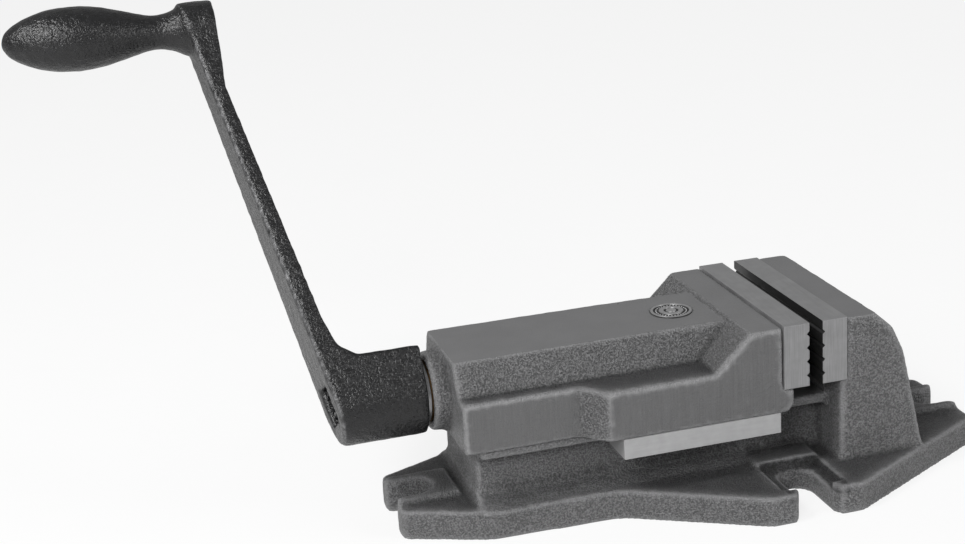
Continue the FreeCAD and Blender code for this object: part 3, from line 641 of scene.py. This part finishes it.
class VISE_OT_moving_jaw(Operator):
    """Skin the moving jaw casting and mill its tops and underside"""
    bl_idname = "vise.moving_jaw"
    bl_label = "Moving jaw casting"

    def execute(self, context):
        looks = context.scene.vise_castings
        low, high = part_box("moving_jaw_casting")
        tunnel_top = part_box("badge_disc")[1].z - BADGE_PROUD
        faces = [Face(2, low.z, facing=-1), Face(2, high.z, x=(HEAD_START - 1 * MM, 1), crisp=0.5 * MM),
                 Face(2, tunnel_top, x=(-1, HEAD_START - 2.5 * MM),
                      y=(-TUNNEL_HALF_WIDTH, TUNNEL_HALF_WIDTH), crisp=0.3 * MM)]
        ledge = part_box("moving_jaw_plate")[0].z + LEDGE_ABOVE_PLATE_FOOT

        def sanded(points, outward):
            """1 on the wings' upright faces, where the casting was rubbed down, and 0 elsewhere."""
            upright = step_up(np.abs(outward[:, 1]), 0.9, 0.97)
            return upright * step_up(np.abs(points[:, 1]), 0.9 * WING_HALF_WIDTH, 0.97 * WING_HALF_WIDTH)

        piece = cast_skin("moving_jaw_casting", "moving_jaw_skin", faces, looks, ledge, sanded)
        paint = cast_paint("hammered_paint_jaw", looks, 58.0)
        dress(piece, "moving_jaw", ["moving_jaw_casting"], paint)
        return {"FINISHED"}


class VISE_OT_crank(Operator):
    """Skin the crank, paint it gloss black and give it a painted highlight along its front and left edges
    """
    bl_idname = "vise.crank"
    bl_label = "Crank"

    def execute(self, context):
        metals = context.scene.vise_metals
        piece = frame_copy("crank", "crank_skin")
        skin = piece.modifiers.new("skin", "REMESH")
        skin.mode = "VOXEL"
        skin.voxel_size = CRANK_VOXEL
        mesh = settle(piece)
        ends, count = neighbours(mesh)
        points = coordinates(mesh)
        for _ in range(CRANK_PASSES):
            points += EASE * (around(points, ends, count) - points)
        put(mesh, points)
        outward = normals(mesh)
        points += outward * (waves(points, SHORT_LUMP, 21) * CRANK_LUMP)[:, None]
        put(mesh, points)
        bend = ((points - around(points, ends, count)) * outward).sum(axis=1)
        # The painted highlight runs along sharp edges that face front and left, clear of the socket
        left_and_front = step_up(outward @ np.array(CRANK_HIGHLIGHT_WAY), 0.55, 0.9)
        low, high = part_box("bearing_bush")
        line = (low + high) / 2
        from_axis = np.hypot(points[:, 1] - line.y, points[:, 2] - line.z)
        clear_of_socket = step_up(from_axis, *SOCKET_CLEAR)
        ridge = step_up(bend, *CRANK_HIGHLIGHT_BEND) * left_and_front * clear_of_socket
        paint_values(mesh, "ridge", ridge)
        dress(piece, "crank", ["crank"], gloss_black("gloss_black", metals.crank_black))
        return {"FINISHED"}


class VISE_OT_jaw_plates(Operator):
    """Break the edges of both jaw plates and grind them"""
    bl_idname = "vise.jaw_plates"
    bl_label = "Jaw plates"

    def execute(self, context):
        shade = context.scene.vise_metals.plate_grey
        for node, body, side in (("fixed_jaw_plate", "base", -1), ("moving_jaw_plate", "moving_jaw", 1)):
            piece = soft_edges(node, node.replace("plate", "insert"), PLATE_EDGE)
            # Each plate's face towards the other jaw gets a painted shade
            steel = brushed_steel("ground_" + node, shade, (2600.0, 60.0, 45.0), gap_shade_side=side)
            dress(piece, body, [node], steel, smooth=False)
        return {"FINISHED"}


class VISE_OT_guide_strips(Operator):
    """Break the edges of both guide strips and grind them"""
    bl_idname = "vise.guide_strips"
    bl_label = "Guide strips"

    def execute(self, context):
        shade = context.scene.vise_metals.strip_grey
        for node in ("guide_strip_front", "guide_strip_back"):
            piece = soft_edges(node, node.replace("guide", "keeper"), STRIP_EDGE)
            steel = brushed_steel("ground_" + node, shade, (60.0, 900.0, 700.0), 0.15, (0.38, 0.44),
                                  tones=(0.95, 1.05))
            dress(piece, "moving_jaw", [node], steel, smooth=False)
        return {"FINISHED"}


class VISE_OT_badge(Operator):
    """Turn the plain ringed disc that is let into the tunnel's top"""
    bl_idname = "vise.badge"
    bl_label = "Badge"

    def execute(self, context):
        low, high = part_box("badge_disc")
        centre = ((low.x + high.x) / 2, (low.y + high.y) / 2, low.z)
        radius, thick = (high.x - low.x) / 2, high.z - low.z
        floor = thick - BADGE_DIP
        profile = [(0, 0), (0, radius), (thick - BADGE_EDGE, radius), (thick, radius - BADGE_EDGE)]
        for out, inner in ((0.86, 0.58), (0.36, 0.24)):
            profile += [(thick, out * radius), (floor, out * radius - RING_SLOPE),
                        (floor, inner * radius + RING_SLOPE), (thick, inner * radius)]
        profile.append((thick, 0))
        piece = revolved("badge_rings", profile, centre, (0, 0, 1), 144)
        points = coordinates(piece.data)
        depth = centre[2] + thick - points[:, 2]
        # The sunk grooves are marked for a painted shade
        paint_values(piece.data, "sunk", step_up(depth, 0.2 * BADGE_DIP, 0.8 * BADGE_DIP))
        pale = metal("badge_metal", context.scene.vise_metals.badge_grey, 0.5, 0.4, sunk=True)
        self.beads(context, centre, 0.72 * radius, floor, pale)
        dress(piece, "moving_jaw", ["badge_disc"], pale, smooth=False)
        return {"FINISHED"}

    def beads(self, context, centre, radius, floor, material):
        """A ring of small beads in the disc's wide groove."""
        bead = bmesh.new()
        for turn in range(BEAD_COUNT):
            angle = 2 * math.pi * turn / BEAD_COUNT
            spot = Vector(centre) + Vector((radius * math.cos(angle), radius * math.sin(angle), floor))
            bmesh.ops.create_icosphere(bead, subdivisions=2, radius=BEAD_RADIUS,
                                       matrix=Matrix.Translation(spot))
        mesh = bpy.data.meshes.new("badge_beads")
        bead.to_mesh(mesh)
        bead.free()
        piece = bpy.data.objects.new("badge_beads", mesh)
        context.scene.collection.objects.link(piece)
        dress(piece, "moving_jaw", [], material)


class VISE_OT_turned_parts(Operator):
    """Finish the spindle line, the nut, the bush and the screws"""
    bl_idname = "vise.turned_parts"
    bl_label = "Spindle, nut and screws"

    def execute(self, context):
        metals = context.scene.vise_metals
        finishes = {
            "turned_steel": metal("turned_steel", metals.turned_grey, 0.8, 0.32),
            "bronze": metal("machined_bronze", metals.bronze, 0.8, 0.38),
            "black_steel": metal("black_oxide", metals.screw_black, 0.3, 0.42),
        }
        for row in frame["record"]["subparts"]:
            finish = finishes.get(row["material_slot"])
            if finish:
                mesh = frame["nodes"][row["node"]].data
                mesh.materials.clear()
                mesh.materials.append(finish)
        return {"FINISHED"}


def lamp(name, place, aim, width, power):
    """A soft square lamp that faces a point."""
    data = bpy.data.lights.new(name, "AREA")
    data.size = width
    data.energy = power
    made = bpy.data.objects.new(name, data)
    made.location = place
    made.rotation_euler = (Vector(aim) - Vector(place)).to_track_quat("-Z", "Y").to_euler()
    bpy.context.scene.collection.objects.link(made)
    return made


class VISE_OT_stage(Operator):
    """Lay the pale floor and set the lamps, the surroundings and the camera"""
    bl_idname = "vise.stage"
    bl_label = "Floor, light and camera"

    def execute(self, context):
        look = context.scene.vise_view
        self.floor(look)
        self.light(look)
        self.camera(look)
        context.scene.view_settings.view_transform = "Standard"
        return {"FINISHED"}

    def floor(self, look):
        """A wide square floor at the vise's underside, lit up a little where the camera sees it."""
        half = FLOOR_HALF
        corners = np.array([(-half, -half, 0), (half, -half, 0), (half, half, 0), (-half, half, 0)])
        ground = new_piece("floor", corners, np.array([[0, 1, 2, 3]]))
        ground.location.z = -FLOOR_DROP
        material, shader, add, link = blank_material("pale_floor")
        speckle = noise(add, link, 40.0)
        link(shades_of(add, link, tuple(look.floor_shade), speckle, 0.99, 1.01),
             shader.inputs["Base Color"])
        shader.inputs["Roughness"].default_value = 0.9
        glow = add("ShaderNodeEmission", Strength=1.0)
        seen = add("ShaderNodeLightPath")
        mixed = add("ShaderNodeMixShader")
        link(reckon(add, link, "MULTIPLY", seen.outputs["Is Camera Ray"], FLOOR_GLOW), mixed.inputs["Fac"])
        link(shader.outputs["BSDF"], mixed.inputs[1])
        link(glow.outputs["Emission"], mixed.inputs[2])
        link(mixed.outputs["Shader"], material.node_tree.nodes["Material Output"].inputs["Surface"])
        ground.data.materials.append(material)

    def light(self, look):
        """Even surroundings, a large lamp in front, one to the side and a small one above the crank."""
        world = bpy.data.worlds.new("surroundings")
        world.use_nodes = True
        nodes, links = world.node_tree.nodes, world.node_tree.links
        backdrop = nodes["Background"]
        backdrop.inputs["Color"].default_value = WHITE
        path = nodes.new("ShaderNodeLightPath")
        strength = nodes.new("ShaderNodeMapRange")
        strength.inputs["To Min"].default_value = look.sky
        strength.inputs["To Max"].default_value = 1.0
        links.new(path.outputs["Is Camera Ray"], strength.inputs["Value"])
        links.new(strength.outputs["Result"], backdrop.inputs["Strength"])
        bpy.context.scene.world = world
        lamp("front_lamp", FRONT_LAMP_PLACE, LAMP_AIM, LAMP_WIDTH, look.key)
        lamp("side_lamp", SIDE_LAMP_PLACE, LAMP_AIM, LAMP_WIDTH, look.fill)
        lamp("top_lamp", TOP_LAMP_PLACE, LAMP_AIM, TOP_LAMP_WIDTH, look.top)

    def camera(self, look):
        """The photograph's angle: turned, dipped and leaned about its own line of sight."""
        level = Vector((math.cos(look.yaw), -math.sin(look.yaw), 0))
        ahead = Vector((math.sin(look.yaw) * math.cos(look.pitch),
                        math.cos(look.yaw) * math.cos(look.pitch), -math.sin(look.pitch)))
        above = level.cross(ahead)
        right = level * math.cos(look.roll) + above * math.sin(look.roll)
        up = above * math.cos(look.roll) - level * math.sin(look.roll)
        data = bpy.data.cameras.new("camera")
        data.lens = look.lens
        data.sensor_width = SENSOR_WIDTH
        data.clip_start = 0.01
        made = bpy.data.objects.new("camera", data)
        turn = Matrix((right, up, -ahead)).transposed()
        made.matrix_world = Matrix.Translation(look.place) @ turn.to_4x4()
        bpy.context.scene.collection.objects.link(made)
        bpy.context.scene.camera = made


class VISE_PT_panel(Panel):
    """Lists the operators in the order in which they run"""
    bl_idname = "VISE_PT_panel"
    bl_label = "Machine vise"
    bl_space_type = "VIEW_3D"
    bl_region_type = "UI"
    bl_category = "Vise"

    def draw(self, context):
        for operator in OPERATORS:
            self.layout.operator(operator.bl_idname)
        for group, kind in GROUPS.items():
            settings = getattr(context.scene, group)
            for name in kind.__annotations__:
                self.layout.prop(settings, name)


OPERATORS = (VISE_OT_base, VISE_OT_moving_jaw, VISE_OT_crank, VISE_OT_jaw_plates, VISE_OT_guide_strips,
             VISE_OT_badge, VISE_OT_turned_parts, VISE_OT_stage)
GROUPS = {"vise_castings": VISE_PG_castings, "vise_metals": VISE_PG_metals, "vise_view": VISE_PG_view}


def register():
    """Tell Blender about every class and hang the settings on the scene."""
    for kind in (*GROUPS.values(), *OPERATORS, VISE_PT_panel):
        bpy.utils.register_class(kind)
    for name, kind in GROUPS.items():
        setattr(bpy.types.Scene, name, PointerProperty(type=kind))


def unregister():
    """Take the settings and classes away again."""
    for name in GROUPS:
        delattr(bpy.types.Scene, name)
    for kind in (VISE_PT_panel, *reversed(OPERATORS), *reversed(GROUPS.values())):
        bpy.utils.unregister_class(kind)


def main():
    """Run every operator in order."""
    register()
    for operator in OPERATORS:
        family, action = operator.bl_idname.split(".")
        if getattr(getattr(bpy.ops, family), action)() != {"FINISHED"}:
            raise RuntimeError(f"{operator.bl_label} did not finish")


if __name__ == "__main__":
    main()
